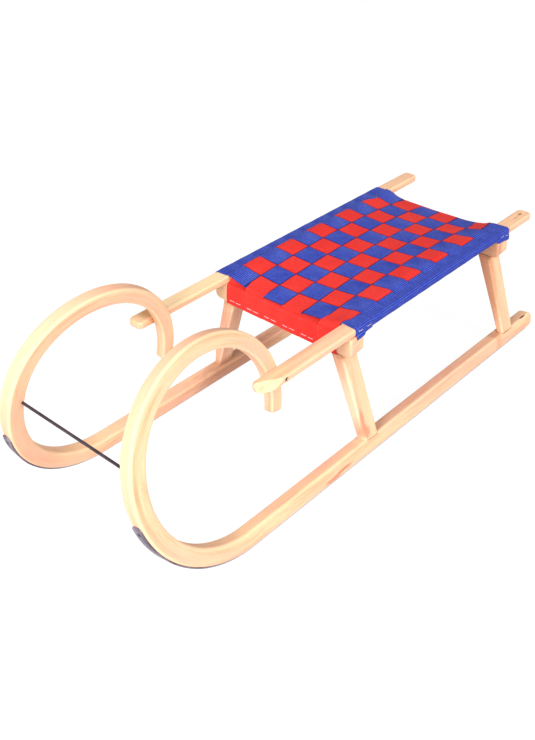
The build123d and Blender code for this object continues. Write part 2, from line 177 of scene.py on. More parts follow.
def wood_material():
    """Varnished beech: drifting peach and cream, long fibres, short dark flecks, rounded edges
    lightened by a painted highlight with some wear, and marks, some of them painted shade and
    painted light.
    """
    m = Material("beech")
    grain = m.attribute("grain")
    edge = m.attribute("edge", "Fac")
    drift = m.noise(grain, (4.5, 30, 30), 2.0)
    figure = m.noise(grain, (7, 95, 95), 4.0, 0.6)
    fibre = m.noise(grain, (38, 1500, 1500), 3.0, 0.6)
    fleck = m.noise(grain, (330, 1700, 1700), 1.0, 0.5)
    colour = m.mix(m.ramp(drift, 0.36, 0.66), PEACH, CREAM)
    colour = m.mix(m.ramp(figure, 0.5, 0.78), colour, FIGURE)
    colour = m.mix(m.ramp(fibre, 0.46, 0.8), colour, FIBRE)
    colour = m.mix(m.times(m.ramp(fleck, 0.66, 0.74), 0.5), colour, FLECK)
    # painted highlight along the rounded edges, with some edge wear
    colour = m.mix(m.times(edge, 0.45), colour, EDGE_HIGHLIGHT_AND_WEAR)
    place = m.add("TexCoord").outputs["Object"]
    ragged = m.times(m.maths("SUBTRACT", m.noise(grain, (60, 420, 420), 2.0), 0.5), 0.7)
    # each mark is a ragged patch: knots and streaks, and painted shade and painted light on some
    # faces
    for spot, sizes, depth, tone in MARKS_AND_PAINTED_SHADING:
        scale = tuple(1000 / s for s in sizes)
        middle = tuple(c * k * MM for c, k in zip(spot, scale))
        gap = m.vector("DISTANCE", m.vector("MULTIPLY", place, scale), middle)
        reach = m.ramp(m.maths("ADD", gap, ragged), 1.1, 0.55)
        colour = m.mix(m.times(reach, depth), colour, tone)
    m.set(Base_Color=colour)
    height = m.maths("ADD", m.maths("MULTIPLY_ADD", fibre, 0.6), fleck)
    m.set(Roughness=m.spread(fibre, 0.34, 0.52), Normal=m.bump(height, 0.00012, 0.5))
    m.set(Coat_Weight=0.05, Coat_Roughness=0.25, IOR=1.45, Specular_IOR_Level=0.18)
    return m.material


def steel_material(name, colour, dark, roughness, metallic, scratch, polished=None):
    """Plain steel with drawn scratches and darker patches, worn bright up to a place along it."""
    m = Material(name)
    grain = m.attribute("grain")
    lines = m.noise(grain, scratch, 2.0, 0.7)
    patches = m.noise(grain, (35, 60, 60), 4.0, 0.6)
    tone = m.mix(m.ramp(patches, 0.4, 0.68), linear(*colour), linear(*dark))
    if polished:
        along = m.add("SeparateXYZ", {0: grain}).outputs[0]
        tone = m.mix(m.ramp(along, *polished), linear(*WORN), tone)
    tone = m.mix(m.times(lines, 0.35), tone, linear(*dark))
    m.set(Base_Color=tone, Metallic=metallic, Roughness=m.spread(patches, *roughness))
    m.set(Normal=m.bump(lines, 0.00005, 0.4))
    return m.material


def webbing_material(name, colour, shade, glow, rib_depth):
    """Flat-woven tape: ribs across its length, fine yarns along it, and a soft sheen."""
    m = Material(name)
    grain = m.attribute("grain")
    parts = m.add("SeparateXYZ", {0: grain}).outputs
    jitter = m.times(m.noise(grain, (60, 60, 1), 2.0), 0.0012)
    along = m.maths("ADD", parts[0], jitter)
    ribs = m.maths("SINE", m.times(along, 2 * pi / RIB_PITCH))
    across = m.maths("ADD", parts[1], jitter)
    yarns = m.maths("SINE", m.times(across, 2 * pi / YARN_PITCH))
    rib = m.maths("MULTIPLY_ADD", ribs, 0.5)
    yarn = m.maths("MULTIPLY_ADD", yarns, 0.5)
    fuzz = m.noise(grain, (900, 900, 1), 3.0, 0.7)
    cloud = m.noise(grain, (18, 26, 60), 3.0, 0.55)
    mottle = m.noise(grain, (230, 230, 1), 2.0, 0.6)
    tone = m.mix(m.ramp(cloud, 0.3, 0.75), linear(*colour), linear(*glow))
    tone = m.mix(m.times(m.ramp(mottle, 0.56, 0.36), 0.3), tone, linear(*shade))
    dip = m.times(m.maths("SUBTRACT", 1.0, rib), rib_depth)
    tone = m.mix(m.maths("ADD", dip, m.times(yarn, 0.1)), tone, linear(*shade))
    tone = m.mix(m.times(m.ramp(fuzz, 0.5, 0.8), 0.25), tone, linear(*glow))
    # painted shade: the edge attribute darkens tapes along their edges, at the crossings' borders
    # and at seams on the rails' sides
    dark = m.times(m.attribute("edge", "Fac"), 0.72)
    m.set(Base_Color=m.mix(dark, tone, linear(*(c * 0.5 for c in shade))))
    m.set(Roughness=m.spread(fuzz, 0.55, 0.8))
    height = m.maths("ADD", rib, m.times(m.maths("ADD", yarn, fuzz), 0.35))
    m.set(Normal=m.bump(height, 0.00022, 0.7))
    m.set(Sheen_Weight=0.03, Sheen_Roughness=0.4, Specular_IOR_Level=0.12)
    return m.material


RIB_PITCH, YARN_PITCH = 0.0036, 0.0012  # of the webbing, m
WORN = (226, 218, 226)
PEACH, CREAM = linear(245, 186, 157), linear(248, 206, 163)
FIGURE, FIBRE = linear(228, 158, 116), linear(236, 176, 138)
# the edge colour is a painted highlight on rounded edges, with some wear
FLECK, EDGE_HIGHLIGHT_AND_WEAR = linear(170, 112, 74), linear(250, 214, 170)
# knots, bark streaks, and darker or paler stretches of the wood, and painted shade and painted
# light on some faces:
# place and size along each axis in mm, depth, colour
MARKS_AND_PAINTED_SHADING = (
    ((-520, 141, 262), (8, 4, 4), 0.75, linear(150, 96, 58)),
    ((-500, 143, 262), (11, 2, 4), 0.5, linear(160, 105, 66)),
    ((-515, 187, 37), (13, 2.6, 2.6), 1.0, linear(120, 62, 36)),
    ((140, 194, 14), (26, 8, 4.5), 0.7, linear(206, 116, 88)),
    ((112, 193, 18), (26, 8, 3.5), 0.75, linear(200, 110, 82)),
    ((-441, 176, 36), (20, 24, 4), 0.5, linear(196, 120, 76)),
    # painted shade: the seat's shadow on the rear legs' front faces
    ((-414, 160, 130), (17, 70, 170), 0.55, linear(176, 106, 70)),
    ((-414, -160, 130), (17, 70, 170), 0.55, linear(176, 106, 70)),
    # painted shade: the seat's shadow on the right runner's inner face
    ((-20, -172, 22), (150, 24, 34), 0.6, linear(150, 96, 74)),
    ((40, 187, 53), (13, 30, 15), 0.8, linear(230, 140, 108)),
    ((44, 180, 76), (7, 30, 26), 0.8, linear(230, 140, 108)),
    # painted light: the left front leg's front face made paler
    ((56, 162, 110), (9, 60, 90), 0.55, linear(252, 224, 190)),
    # painted light: the right rail's top face made paler
    ((150, -142, 264), (170, 26, 7), 0.7, linear(252, 224, 176)),
    # painted shade: under the right horn, on the right rail's nose
    ((236, -142, 258), (30, 34, 18), 0.75, linear(196, 132, 72)),
)
BEECH = wood_material()
STEEL = steel_material(
    "strip_steel", (150, 140, 158), (96, 86, 104), (0.3, 0.5), 0.5, (20, 1800, 1800), (0.36, 0.46)
)
ROD = steel_material("rod_steel", (96, 82, 92), (48, 38, 46), (0.35, 0.55), 0.6, (900, 60, 60))
SCREW = steel_material("screw_steel", (52, 40, 34), (24, 18, 16), (0.4, 0.6), 0.2, (700,) * 3)
STAPLE = steel_material(
    "staple_steel", (244, 240, 246), (196, 188, 200), (0.2, 0.35), 0.35, (900,) * 3
)
BLACK = steel_material("black_steel", (40, 38, 44), (18, 16, 20), (0.35, 0.5), 0.5, (900,) * 3)
RED = webbing_material("red_webbing", (232, 52, 46), (190, 20, 22), (242, 66, 56), 0.34)
BLUE = webbing_material("blue_webbing", (60, 80, 196), (8, 16, 96), (100, 122, 230), 0.8)


# ---- building meshes ----
class Shape:
    """Points in mm with a grain place and an edge share for each, and faces."""

    def __init__(self):
        self.points, self.grain, self.edge, self.faces = [], [], [], []

    def ring(self, points, grain, edge):
        """Adds a ring of points and gives their numbers."""
        start = len(self.points)
        self.points += points
        self.grain += grain
        self.edge += edge
        return list(range(start, len(self.points)))

    def join(self, a, b):
        self.faces += list(zip(a, a[1:] + a[:1], b[1:] + b[:1], b))

    def tube(self, rings):
        """Rings of (points, grain, edge), joined in order and closed at both ends."""
        loops = [self.ring(*r) for r in rings]
        for a, b in zip(loops, loops[1:]):
            self.join(a, b)
        self.faces += [tuple(reversed(loops[0])), tuple(loops[-1])]

    def mirrored(self):
        """The same shape on the other side, with other grain."""
        other = Shape()
        other.points = [Vector((p.x, -p.y, p.z)) for p in self.points]
        other.grain = [(s + 3.7, a, b) for s, a, b in self.grain]
        other.edge = list(self.edge)
        other.faces = [tuple(reversed(f)) for f in self.faces]
        return other

    def mesh(self, name):
        """The shape as a mesh in metres, with its faces turned outwards."""
        mesh = bpy.data.meshes.new(name)
        mesh.from_pydata([p * MM for p in self.points], [], self.faces)
        work = bmesh.new()
        work.from_mesh(mesh)
        bmesh.ops.recalc_face_normals(work, faces=work.faces)
        work.to_mesh(mesh)
        work.free()
        return mesh

    def piece(self, name, material, slot, nodes=(), weighted=True):
        """The finished object, riding on the root body."""
        mesh = self.mesh(name)
        write_attributes(mesh, [Vector(g) * MM for g in self.grain], self.edge)
        mesh.materials.append(material)
        mesh.polygons.foreach_set("use_smooth", [True] * len(mesh.polygons))
        thing = placed(name, mesh)
        if weighted:
            modifier = thing.modifiers.new("flat_faces", "WEIGHTED_NORMAL")
            modifier.weight = 100
        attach(thing, "root")
        if nodes:
            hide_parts(*nodes)
        return thing


def placed(name, data):
    """A new object of that data, in the scene."""
    thing = bpy.data.objects.new(name, data)
    bpy.context.scene.collection.objects.link(thing)
    return thing


def write_attributes(mesh, grain, edge):
    """The grain place and edge share that the materials read, for each vertex."""
    for old in ("grain", "edge"):
        if old in mesh.attributes:
            mesh.attributes.remove(mesh.attributes[old])
    places = mesh.attributes.new("grain", "FLOAT_VECTOR", "POINT")
    places.data.foreach_set("vector", np.array([tuple(g) for g in grain], np.float32).ravel())
    # the edge share is a painted highlight with some wear on the wood, and painted shade on the
    # webbing
    shares = mesh.attributes.new("edge", "FLOAT", "POINT")
    shares.data.foreach_set("value", np.array(edge, np.float32))


def plain_ring(points):
    """Ring for Shape.tube with grain where its points are, and no edge."""
    return points, [tuple(p) for p in points], [0.0] * len(points)


def circle(centre, axis_a, axis_b, radius, count):
    """Points round a centre."""
    turns = [2 * pi * k / count for k in range(count)]
    return [centre + (axis_a * cos(t) + axis_b * sin(t)) * radius for t in turns]


def outline(half_a, half_b, radii, flats=(0, 0, 0, 0), steps=6):
    """Rounded rectangle as (a, b, edge), from the corner at +a +b on round by -a +b.

    flats is how far each corner is a straight chamfer in place of an arc.
    """
    found = []
    for corner, (side_a, side_b) in enumerate(((1, 1), (-1, 1), (-1, -1), (1, -1))):
        radius = max(0.01, min(radii[corner], half_a * 0.999, half_b * 0.999))
        middle_a, middle_b = side_a * (half_a - radius), side_b * (half_b - radius)
        ends = [(cos(corner * pi / 2 + t), sin(corner * pi / 2 + t)) for t in (0, pi / 2)]
        for step in range(steps + 1):
            share = step / steps
            angle = corner * pi / 2 + share * pi / 2
            chord = [ends[0][k] + (ends[1][k] - ends[0][k]) * share for k in (0, 1)]
            flat = flats[corner]
            a = middle_a + radius * (cos(angle) * (1 - flat) + chord[0] * flat)
            b = middle_b + radius * (sin(angle) * (1 - flat) + chord[1] * flat)
            found.append((a, b, sin(share * pi)))
    return found


def bar_ring(centre, axis_a, axis_b, half_a, half_b, radius, along, steps=6):
    """Ring of a bar for Shape.tube: its section round a centre."""
    found = outline(half_a, half_b, [radius] * 4, steps=steps)
    points = [centre + axis_a * a + axis_b * b for a, b, _ in found]
    return points, [(along, a, b) for a, b, _ in found], [edge for _, _, edge in found]


# ---- runners with their horns ----
def in_runner(x, v, w):
    """Point of the left runner: x forwards, v up its plane, w inwards from its outer face."""
    return Vector((x, RUNNER_Y, RUNNER_Z)) + UP * v + ACROSS * w


def rim(turn):
    """Outer rim of the horn after a turn in degrees, as x and v in the runner's plane."""
    x, v, start = TOE_X, 0.0, 0.0
    for radius, sweep in HORN_ARCS:
        end = min(turn, start + sweep)
        x += radius * (sin(radians(end)) - sin(radians(start)))
        v += radius * (cos(radians(start)) - cos(radians(end)))
        start += sweep
        if turn <= start:
            break
    return x, v


def horn_size(turn):
    """Width, height, rounding and inward bend of the horn after a turn in degrees."""
    share = max(0.0, (turn - CURL_START) / (HORN_END - CURL_START))
    width = RUNNER_W + (TIP_W - RUNNER_W) * share
    height = RUNNER_H + (TIP_H - RUNNER_H) * share
    return width, height, RUNNER_R + (TIP_R - RUNNER_R) * share, CURL_INSET * share**2


def horn_centre(turn):
    """Middle of the left horn's section after a turn."""
    x, v = rim(turn)
    width, height, _, inset = horn_size(turn)
    x -= sin(radians(turn)) * height / 2
    v += cos(radians(turn)) * height / 2
    return in_runner(x, v, width / 2) - Y * inset


# distances from a rounded end at which its sections are drawn, mm
END_STEPS = (0, 0.1, 0.45, 1.0, 1.8, 2.9, 4.2, 5.8, 7.6, 9.6, 12.0)
TIP_RADIUS = 165.0  # of the curl's middle line near the horn's end
# the right horn's own curl: lower at its top, and further forward and lower at its tip
TIGHT_START, TIGHT_LATE, TIGHT_DROP, TIP_FORWARD, TIP_DROP = 95.0, 150.0, 7.5, 8.0, 2.0


def tighter(turn):
    """How far the right horn's curl lies from the left one's mirror image."""
    share = max(0.0, (turn - TIGHT_START) / (HORN_END - TIGHT_START))
    late = smooth(turn, TIGHT_LATE, HORN_END)
    return X * (TIP_FORWARD * late) - Z * (TIGHT_DROP * sin(pi * share) ** 2 + TIP_DROP * late)


def runner_shape(tight):
    """A runner with its horn; tight is 1 for the right horn's own curl."""
    shape, rings = Shape(), []
    for inside in (*END_STEPS, *np.linspace(40, TOE_X - TAIL_X, 24)):
        x = TAIL_X + inside
        centre = in_runner(x, RUNNER_H / 2, RUNNER_W / 2)
        half_a, half_b = eased(RUNNER_W / 2, 4.0, inside), eased(RUNNER_H / 2, TAIL_R, inside)
        rings.append(bar_ring(centre, ACROSS, UP, half_a, half_b, RUNNER_R, x))
    along, last = TOE_X, horn_centre(0) + tighter(0) * tight
    turns = [HORN_END * k / 124 for k in range(1, 123)]
    tip_turns = [HORN_END - degrees(u / TIP_RADIUS) for u in reversed(END_STEPS[:9])]
    for turn in [t for t in turns if t < tip_turns[0] - 0.5] + tip_turns:
        width, height, radius, _ = horn_size(turn)
        centre = horn_centre(turn) + tighter(turn) * tight
        along += (centre - last).length
        last = centre
        inside = radians(HORN_END - turn) * TIP_RADIUS
        half_a, half_b = eased(width / 2, 3.5, inside), eased(height / 2, 5.5, inside)
        up = UP * cos(radians(turn)) - X * sin(radians(turn))
        rings.append(bar_ring(centre, ACROSS, up, half_a, half_b, radius, along))
    shape.tube(rings)
    return shape


def sided(name, shape, material, slot):
    """The left piece and its mirror image, each in place of its CAD node."""
    shape.piece(f"{name}_left_look", material, slot, [f"{name}_left"])
    shape.mirrored().piece(f"{name}_right_look", material, slot, [f"{name}_right"])


runner_shape(0.0).piece("runner_left_look", BEECH, "beech", ["runner_left"])
runner_shape(1.0).mirrored().piece("runner_right_look", BEECH, "beech", ["runner_right"])


# ---- steel strips under the runners ----
BEND = HORN_ARCS[0][0]  # outer radius of the runner's front bend
SHOE_END = 8.5  # corners of the strip's two ends


def shoe_shape():
    """The left strip, from behind the tail and along the ground, then up the front bend."""
    shape, rings = Shape(), []
    half_t = (SHOE_T - CLEAR) / 2
    start = TAIL_X + SHOE_GAP
    # each spot: x of the bend's centre, turn, distance from the nearer end
    spots = [(start + u, 0.0, u) for u in END_STEPS[:10]]
    spots += [(x, 0.0, 99.0) for x in np.linspace(start + 40, TOE_X, 20)]
    reach = radians(SHOE_TURN) * BEND
    bend = [reach * k / 60 for k in range(1, 60) if reach * (1 - k / 60) > 11]
    bend += [reach - u for u in reversed(END_STEPS[:10])]
    spots += [(TOE_X, s / BEND, reach - s) for s in bend]
    radius = BEND + half_t + CLEAR
    for x, turn, inside in spots:
        centre = in_runner(x + radius * sin(turn), BEND - radius * cos(turn), RUNNER_W / 2)
        up = UP * cos(turn) - X * sin(turn)
        half_a = eased(SHOE_W / 2, SHOE_END, inside)
        along = x + turn * 200
        rings.append(bar_ring(centre, ACROSS, up, half_a, half_t, 0.5, along, steps=3))
    shape.tube(rings)
    return shape


sided("shoe", shoe_shape(), STEEL, "steel")


def screw_head(shape, centre, out, across, radius, height):
    """Low round head on a surface, with a cross-shaped recess."""
    other = out.cross(across)
    count = 24
    # each ring: share of the height, share of the radius, and that share at the four slots
    profile = [(-0.6, 1.0, 1.0), (0.25, 1.0, 1.0), (0.7, 0.9, 0.9), (0.92, 0.7, 0.7)]
    profile += [(1.0, 0.45, 0.45), (1.0, 0.16, 0.42), (-0.6, 0.12, 0.42)]
    rings = []
    for lift, share, slot in profile:
        ring = []
        for k in range(count):
            angle = 2 * pi * k / count
            way = across * cos(angle) + other * sin(angle)
            reach = slot if k % (count // 4) == 0 else share
            ring.append(centre + way * radius * reach + out * height * lift)
        rings.append(plain_ring(ring))
    shape.tube(rings)


shoe_screws = Shape()
for side in (1, -1):
    flip = Vector((1, side, 1))
    for x in (-500, -300, -100, 100, 280):
        spot = in_runner(x, -SHOE_T, RUNNER_W / 2)
        screw_head(shoe_screws, spot * flip, UP * flip * -1, X, 3.4, 0.5)
    turn = radians(SHOE_TURN - 4.5)
    radius = BEND + SHOE_T
    spot = in_runner(TOE_X + radius * sin(turn), BEND - radius * cos(turn), RUNNER_W / 2)
    out = (X * sin(turn) - UP * cos(turn)) * flip
    screw_head(shoe_screws, spot * flip, out, ACROSS * flip, 3.0, 0.5)
shoe_screws.piece("shoe_screws_look", SCREW, "screw")

# ---- tie rod ----
rod_x, rod_v = rim(ROD_TURN)
rod_depth = horn_size(ROD_TURN)[1] - ROD_INSET
rod_x -= rod_depth * sin(radians(ROD_TURN))
rod_end = in_runner(rod_x, rod_v + rod_depth * cos(radians(ROD_TURN)), RUNNER_W)
half_rod = rod_end.y + 4  # each end goes 4 mm into its horn
rod = Shape()
rings = []
for y in np.linspace(-half_rod, half_rod, 25):
    ring = circle(Vector((rod_end.x, y, rod_end.z)), X, Z, ROD_R, 24)
    rings.append((ring, [(y, p.x, p.z) for p in ring], [0.0] * 24))
rod.tube(rings)
rod.piece("tie_rod_look", ROD, "rod", ["tie_rod"])


# ---- rails ----
def rail_shape():
    """The left rail before its bevel and hole, from rounded sections at each level."""
    shape, rings = Shape(), []
    middle = Vector((RAIL_FRONT - RAIL_L / 2, RAIL_OUTER - RAIL_W / 2, 0))
    for step in range(-8, 9):
        angle = abs(step) / 8 * pi / 2
        inset = RAIL_R * (1 - cos(angle)) if step else 0.0
        level = RAIL_T / 2 - RAIL_R + RAIL_R * sin(angle) if step else 0.0
        centre = middle + Z * (RAIL_TOP - RAIL_T / 2 + (level if step > 0 else -level))
        half_x, half_y = RAIL_L / 2 - inset, RAIL_W / 2 - inset
        rings.append(bar_ring(centre, X, Y, half_x, half_y, RAIL_END - inset, 0, steps=9))
    shape.tube(rings)
    return shape


def bevel_nose(mesh):
    """Cut the bevel over the left nose's outer corner."""
    low = Vector((RAIL_FRONT - BEVEL_LOW[0], RAIL_OUTER, RAIL_BOTTOM))
    end = Vector((RAIL_FRONT, RAIL_OUTER - BEVEL_LOW[1], RAIL_BOTTOM))
    high = Vector((RAIL_FRONT - BEVEL_HIGH[0], RAIL_OUTER, RAIL_TOP))
    out = (end - low).cross(high - low).normalized()
    if out.x < 0:
        out = -out
    work = bmesh.new()
    work.from_mesh(mesh)
    everything = [*work.verts, *work.edges, *work.faces]
    cut = bmesh.ops.bisect_plane(
        work, geom=everything, plane_co=low * MM, plane_no=out, clear_outer=True
    )
    rim_edges = [g for g in cut["geom_cut"] if isinstance(g, bmesh.types.BMEdge)]
    bmesh.ops.contextual_create(work, geom=rim_edges)
    bmesh.ops.bevel(
        work, geom=rim_edges, offset=0.9 * MM, segments=2, affect="EDGES", profile=0.5
    )
    bmesh.ops.recalc_face_normals(work, faces=work.faces)
    work.to_mesh(mesh)
    work.free()
    mesh.polygons.foreach_set("use_smooth", [True] * len(mesh.polygons))


def rail_attributes(mesh, side):
    """Grain along the rail, and the edge share from how far a point is round its edges."""
    grain, edge = [], []
    for vertex in mesh.vertices:
        x, y, z = vertex.co / MM
        high = max(0.0, abs(z - RAIL_TOP + RAIL_T / 2) - RAIL_T / 2 + RAIL_R) / RAIL_R
        wide = max(0.0, abs(abs(y) - RAIL_OUTER + RAIL_W / 2) - RAIL_W / 2 + RAIL_R) / RAIL_R
        grain.append(Vector((x, y * 1.3 + 400 * side, z)) * MM)
        edge.append(min(1.0, 1.4 * min(high, wide)))
    write_attributes(mesh, grain, edge)


def horn_x_at(z):
    """x at which the horn's middle comes back down to a height."""
    turn = 180.0
    while turn < HORN_END and horn_centre(turn).z > z:
        turn += 0.5
    return horn_centre(turn).x


SCREW_X = horn_x_at(SCREW_Z)


def drill_rail(rail, side):
    """Cut the counterbore for the horn's screw into a rail's outer face."""
    cutter, rings = Shape(), []
    for y in (RAIL_OUTER - SCREW_SINK - 2.4, RAIL_OUTER + 3):
        rings.append(plain_ring(circle(Vector((SCREW_X, side * y, SCREW_Z)), X, Z, SCREW_R, 32)))
    cutter.tube(rings)
    mesh = cutter.mesh("cutter")
    drill = placed("cutter", mesh)
    hole = rail.modifiers.new("hole", "BOOLEAN")
    hole.object, hole.operation, hole.solver = drill, "DIFFERENCE", "EXACT"
    # only the hole goes into the mesh: the weighted normals stay a modifier
    rail.modifiers.move(1, 0)
    rail.modifiers[1].show_viewport = False
    bpy.context.view_layer.update()
    final = rail.evaluated_get(bpy.context.evaluated_depsgraph_get())
    holed = bpy.data.meshes.new_from_object(final)
    rail.modifiers.remove(hole)
    rail.modifiers[0].show_viewport = True
    old = rail.data
    rail.data = holed
    rail.data.name = rail.name
    for used in (old, mesh):  # the cutter goes with its mesh
        bpy.data.meshes.remove(used)


rail_left = rail_shape()
for side, label, shape in ((1, "left", rail_left), (-1, "right", rail_left.mirrored())):
    rail = shape.piece(f"rail_{label}_look", BEECH, "beech", [f"rail_{label}"])
    if label == "left":  # the right nose is a plain rounded end
        bevel_nose(rail.data)
    drill_rail(rail, side)
    rail_attributes(rail.data, side)

heads = Shape()
for side in (1, -1):
    spot = Vector((SCREW_X, side * (RAIL_OUTER - SCREW_SINK - 1.6), SCREW_Z))
    screw_head(heads, spot, Y * side, X, SCREW_R - 0.3, 1.2)
heads.piece("horn_screws_look", SCREW, "screw", ["horn_screws"])


# ---- trestles ----
def on_trestle(x_ground, y, up, depth):
    """Point of a trestle: y, up its rake, and depth behind its front face."""
    x = x_ground + up * sin(RAKE) - depth * cos(RAKE)
    return Vector((x, y, up * cos(RAKE) + depth * sin(RAKE)))


def yoke_shape(x_ground, seed):
    """A crossbar with rounded lower corners, level with the rails' undersides on top."""
    shape, rings = Shape(), []
    depths = [YOKE_R * (1 - cos(k * pi / 12)) for k in range(7)]
    depths += [YOKE_D / 2] + [YOKE_D - d for d in reversed(depths)]
    for depth in depths:
        inset = YOKE_R - eased(YOKE_R, YOKE_R, min(depth, YOKE_D - depth))
        low = YOKE_BOTTOM / cos(RAKE) + inset
        high = (RAIL_BOTTOM - depth * sin(RAKE)) / cos(RAKE) - inset * 0.6
        corners = [3.0, 3.0, YOKE_CORNER - inset, YOKE_CORNER - inset]
        found = outline(YOKE_HALF - inset, (high - low) / 2, corners, steps=9)
        points = [on_trestle(x_ground, a, (high + low) / 2 + b, depth) for a, b, _ in found]
        grain = [(a + seed, b, depth) for a, b, _ in found]
        rings.append((points, grain, [inset / YOKE_R] * len(found)))
    shape.tube(rings)
    return shape


FOOT = in_runner(0, RUNNER_H, 0)
FOOT_UP, HEAD_UP = FOOT.z / cos(RAKE), RAIL_BOTTOM / cos(RAKE)
SPLAY = (FOOT.y - LEG_HEAD_Y) / (HEAD_UP - FOOT_UP)


def leg_point(x_ground, in_from_outer, depth, up):
    """Point of a left leg: in from its outer face, behind its front face, and up the trestle."""
    return on_trestle(x_ground, FOOT.y - SPLAY * (up - FOOT_UP) - in_from_outer, up, depth)


def foot_up(in_from_outer, depth):
    """How far up the trestle the runner's top lies, under a point of the leg's foot."""
    lean = tan(CANT)
    level = FOOT.z + lean * (SPLAY * FOOT_UP - in_from_outer) - depth * sin(RAKE)
    return level / (cos(RAKE) + lean * SPLAY)


def leg_shape(x_ground, foot_t, wedged, seed):
    """A leg whose inner face slopes out to a foot of that thickness."""
    shape, rings = Shape(), []
    shelf = YOKE_BOTTOM / cos(RAKE) - 0.1
    # shares of the way up, close together over the wedge; the first lies in the runner
    shares = [-0.014] + [0.04 * k for k in range(10)] + [0.5, 0.7, 0.85, 1.0]
    for share in shares:
        height = share * (shelf - FOOT_UP)
        corner, flat = LEG_R, 0.0
        if wedged and height < WEDGE_H:
            corner = max(LEG_R * 0.8, WEDGE_W * (1 - height / WEDGE_H))
            flat = 1 - smooth(height, WEDGE_H * 0.7, WEDGE_H)
        points, grain, edges = [], [], []
        corners = [corner, LEG_R, LEG_R, LEG_R]
        half = (foot_t + (LEG_T - foot_t) * max(0.0, share)) / 2
        for a, b, edge in outline(half, LEG_D / 2, corners, (flat, 0, 0, 0)):
            inwards, depth = half - a, LEG_D / 2 - b
            low = foot_up(inwards, depth)
            up = low + (shelf - low) * share
            points.append(leg_point(x_ground, inwards, depth, up))
            grain.append((up + seed, a, b))
            edges.append(edge)
        rings.append((points, grain, edges))
    shape.tube(rings)
    return shape


for place, x_ground in TRESTLES.items():
    seed = 900.0 if place == "front" else 2100.0
    yoke_shape(x_ground, seed).piece(f"yoke_{place}_look", BEECH, "beech", [f"yoke_{place}"])
    leg = leg_shape(x_ground, LEG_FOOT_T[place], place == "front", seed * 1.7)
    sided(f"leg_{place}", leg, BEECH, "beech")

# ---- webbing ----
LONG_COUNT, CROSS_COUNT = 6, 11
COLUMN_PITCH, ROW_PITCH, ROW_FRONT = 44.14, 44.88, 29.8
SKEW = 0.0567  # how far the cross tapes lean back for each mm to the left
LONG_WIDTH, CROSS_WIDTH = 43.0, 43.6
TAPE_HALF = 0.55  # half the tape's thickness
LIFT = 0.75  # a tape's middle above or below the weave's middle
CHANGE = 2.1  # length over which a tape goes from over to under
COLUMN_Y = [COLUMN_PITCH * (i - (LONG_COUNT - 1) / 2) for i in range(LONG_COUNT)]
YOKE_CLEAR = 0.25  # gap between a yoke and the tape that folds over it
ON_RAIL = RAIL_TOP + CLEAR + TAPE_HALF
ON_YOKE = RAIL_BOTTOM + YOKE_CLEAR + TAPE_HALF
RAIL_INNER = RAIL_OUTER - RAIL_W
# level of the weave's middle at the yokes, its rise between them, its rise towards the rails, and
# how much more that is at the yokes
SEAT_LOW, SEAT_ARCH, SEAT_SIDE, SEAT_SIDE_MORE = 250.8, 10.3, 5.9, 2.4


def drawn(y):
    """How far the front cross tapes are drawn forward; it fades out at row 3.5."""
    return 2.0 + 2.9 * smooth(y, -130, -30) + 2.2 * smooth(y, 125, 152)


def row_at(x, y):
    """Place along the weave, in cross tapes from the front one's middle."""
    row = (ROW_FRONT - SKEW * y + drawn(y) * 0.875 - x) / (ROW_PITCH + drawn(y) / 4)
    return row if row < 3.5 else (ROW_FRONT - SKEW * y - x) / ROW_PITCH


def x_at(row, y):
    """The x at which row_at gives that row."""
    return ROW_FRONT - SKEW * y - row * ROW_PITCH + drawn(y) * max(0.0, 0.875 - row / 4)


def seat_level(x, y):
    """Height of the weave's middle: arched along the seat, raised beside the rails."""
    along = min(1.1, max(-1.1, (row_at(x, y) - 5) / 5))
    # on the rear yoke the straps lie flat for longer and rise to the rails more steeply
    ends = smooth(along, 0.55, 1.0)
    share = abs(y) / COLUMN_Y[-1]
    across = min(1.55, share**2 * (1 - ends) + share**4 * ends)
    level = SEAT_LOW + SEAT_ARCH * (1 - along**2)
    level += (SEAT_SIDE + SEAT_SIDE_MORE * along**2) * across
    level = max(level, ON_YOKE + LIFT)
    rest = ON_RAIL + LIFT
    reach = smooth(abs(y), 104, 130) if level < rest else smooth(abs(y), 118, 142)
    return level + (rest - level) * reach


def stepped(place, borders, levels):
    """levels[0] before the first border, and the next level past each one."""
    value = levels[0]
    for border, before, after in zip(borders, levels, levels[1:]):
        value += (after - before) * smooth(place, border - CHANGE / 2, border + CHANGE / 2)
    return value


def crown(place, pitch, share_across):
    """Slight rise in the middle of a crossing."""
    local = place / pitch - round(place / pitch)
    return 0.3 * max(0.0, 1 - (2.2 * local) ** 2) * (1 - share_across**2)


def cross_level(row, x, y, offset):
    """Height of a cross tape's middle surface, over or under each long tape."""
    sides = [-1] + [1 if (i + row) % 2 == 0 else -1 for i in range(LONG_COUNT)] + [-1]
    borders = [COLUMN_PITCH * (k - LONG_COUNT / 2) for k in range(LONG_COUNT + 1)]
    side = stepped(y, borders, sides)
    rise = crown(y - COLUMN_PITCH / 2, COLUMN_PITCH, 2 * offset / CROSS_WIDTH)
    return seat_level(x, y) + side * (LIFT + rise)


def face_at(place, level):
    """The x of a yoke's raked front face at a level."""
    return TRESTLES[place] + level * tan(RAKE)


FRONT_LEVEL = ON_YOKE + 0.6 * LIFT
FOLD_FRONT = face_at("front", RAIL_BOTTOM) - YOKE_R


